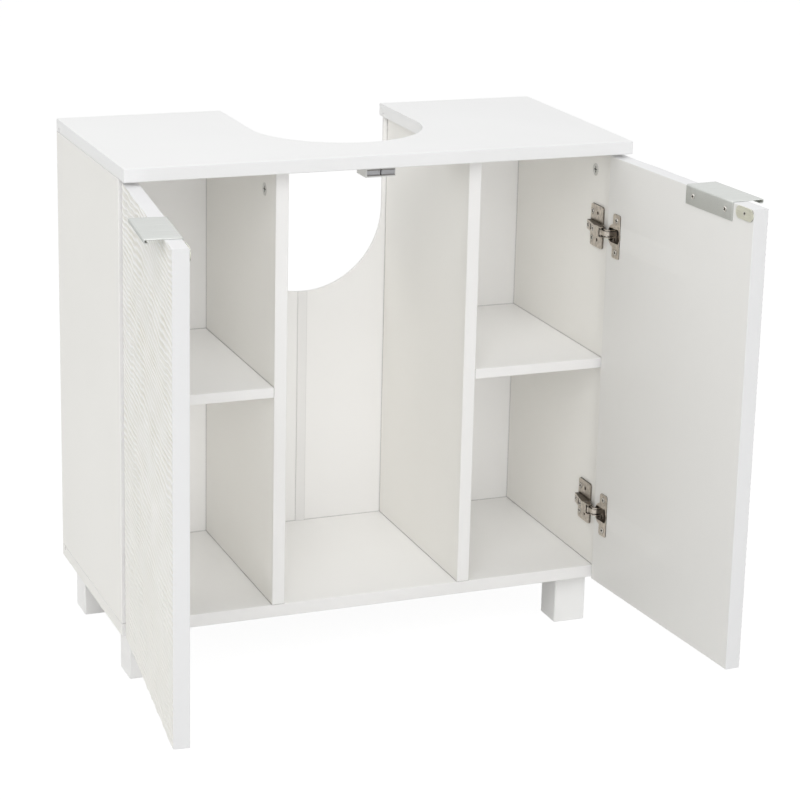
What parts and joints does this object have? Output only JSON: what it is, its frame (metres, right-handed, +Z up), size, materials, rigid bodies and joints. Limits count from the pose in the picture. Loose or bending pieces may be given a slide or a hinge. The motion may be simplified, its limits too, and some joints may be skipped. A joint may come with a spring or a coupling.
{
  "type": "sink base cabinet",
  "caption": "White washbasin base cabinet with rippled double doors on concealed hinges, open round-ended cut-outs in top and back, outer shelves and square feet.",
  "frame": {"origin": "on the floor under the unit's centre plane, in the plane of the closed doors' front faces", "axes": "+X to the unit's right seen from the front, +Y from the doors towards the wall, +Z up; both doors are stored open, as pictured"},
  "size_m": [0.6822, 0.5767, 0.602],
  "materials": {
    "door_lacquer": "satin white lacquer on fibreboard",
    "carcass_white": "white melamine-faced board",
    "back_white": "white-faced hardboard",
    "foot_white": "satin white",
    "strip_white": "white",
    "handle_aluminium": "satin anodised",
    "hinge_nickel": "nickel-plated",
    "screw_steel": "zinc-plated",
    "strike_steel": "zinc-plated",
    "catch_white": "white",
    "magnet_black": "sintered ferrite",
    "pole_steel": "plain steel",
    "cam_zinc": "die-cast zinc",
    "dowel_beech": "plain beech"
  },
  "bodies": {
    "cabinet": {"top_panel": "carcass_white", "bottom_panel": "carcass_white", "left_side_panel": "carcass_white", "right_side_panel": "carcass_white", "left_divider": "carcass_white", "right_divider": "carcass_white", "left_shelf": "carcass_white", "right_shelf": "carcass_white", "left_back_board": "back_white", "right_back_board": "back_white", "back_joint_strip": "strip_white", "front_left_foot": "foot_white", "front_right_foot": "foot_white", "rear_left_foot": "foot_white", "rear_right_foot": "foot_white", "foot_studs": "screw_steel", "cam_bolts": "screw_steel", "bottom_screws": "screw_steel", "catch_screws": "screw_steel", "hinge_arm_screws": "screw_steel", "wing_plate_screws": "screw_steel", "cam_locks": "cam_zinc", "top_dowels": "dowel_beech", "shelf_dowels": "dowel_beech", "catch_housing": "catch_white", "catch_magnets": "magnet_black", "catch_pole_plates": "pole_steel", "hinge_arm_pins": "hinge_nickel", "left_lower_wing_plate": "hinge_nickel", "left_upper_wing_plate": "hinge_nickel", "left_lower_hinge_arm": "hinge_nickel", "left_upper_hinge_arm": "hinge_nickel", "right_lower_wing_plate": "hinge_nickel", "right_upper_wing_plate": "hinge_nickel", "right_lower_hinge_arm": "hinge_nickel", "right_upper_hinge_arm": "hinge_nickel"},
    "left_door": {"left_door_panel": "door_lacquer", "left_handle": "handle_aluminium", "left_handle_screws": "screw_steel", "left_strike_plate": "strike_steel", "left_strike_screw": "screw_steel", "left_lower_hinge_cup": "hinge_nickel", "left_upper_hinge_cup": "hinge_nickel", "left_cup_screws": "screw_steel"},
    "right_door": {"right_door_panel": "door_lacquer", "right_handle": "handle_aluminium", "right_handle_screws": "screw_steel", "right_strike_plate": "strike_steel", "right_strike_screw": "screw_steel", "right_lower_hinge_cup": "hinge_nickel", "right_upper_hinge_cup": "hinge_nickel", "right_cup_screws": "screw_steel"},
    "left_outer_links": {"left_outer_links": "hinge_nickel"},
    "left_inner_links": {"left_inner_links": "hinge_nickel"},
    "right_outer_links": {"right_outer_links": "hinge_nickel"},
    "right_inner_links": {"right_inner_links": "hinge_nickel"}
  },
  "joints": [
    {"name": "left_door_swing", "type": "hinge", "parent": "cabinet", "child": "left_door", "pos_m": [-0.2918, 0.0066, 0.3215], "axis": [0, 0, 1], "range_deg": [-3.9, 96.1]},
    {"name": "right_door_swing", "type": "hinge", "parent": "cabinet", "child": "right_door", "pos_m": [0.2918, 0.0066, 0.3215], "axis": [0, 0, 1], "range_deg": [-94.3, 5.7]},
    {"name": "left_outer_link_turn", "type": "hinge", "parent": "cabinet", "child": "left_outer_links", "pos_m": [-0.277, 0.018, 0.3215], "axis": [0, 0, 1], "range_deg": [-41.04, 1.71]},
    {"name": "left_inner_link_turn", "type": "hinge", "parent": "cabinet", "child": "left_inner_links", "pos_m": [-0.274, 0.0165, 0.3215], "axis": [0, 0, 1], "range_deg": [-20.29, 0.87]},
    {"name": "right_outer_link_turn", "type": "hinge", "parent": "cabinet", "child": "right_outer_links", "pos_m": [0.277, 0.018, 0.3215], "axis": [0, 0, 1], "range_deg": [-2.48, 40.27]},
    {"name": "right_inner_link_turn", "type": "hinge", "parent": "cabinet", "child": "right_inner_links", "pos_m": [0.274, 0.0165, 0.3215], "axis": [0, 0, 1], "range_deg": [-1.25, 19.91]}
  ],
  "couplings": [
    {"joint": "left_outer_link_turn", "follows": "left_door_swing", "ratio": -0.42656},
    {"joint": "left_inner_link_turn", "follows": "left_door_swing", "ratio": -0.21063},
    {"joint": "right_outer_link_turn", "follows": "right_door_swing", "ratio": -0.42656},
    {"joint": "right_inner_link_turn", "follows": "right_door_swing", "ratio": -0.21063}
  ]
}
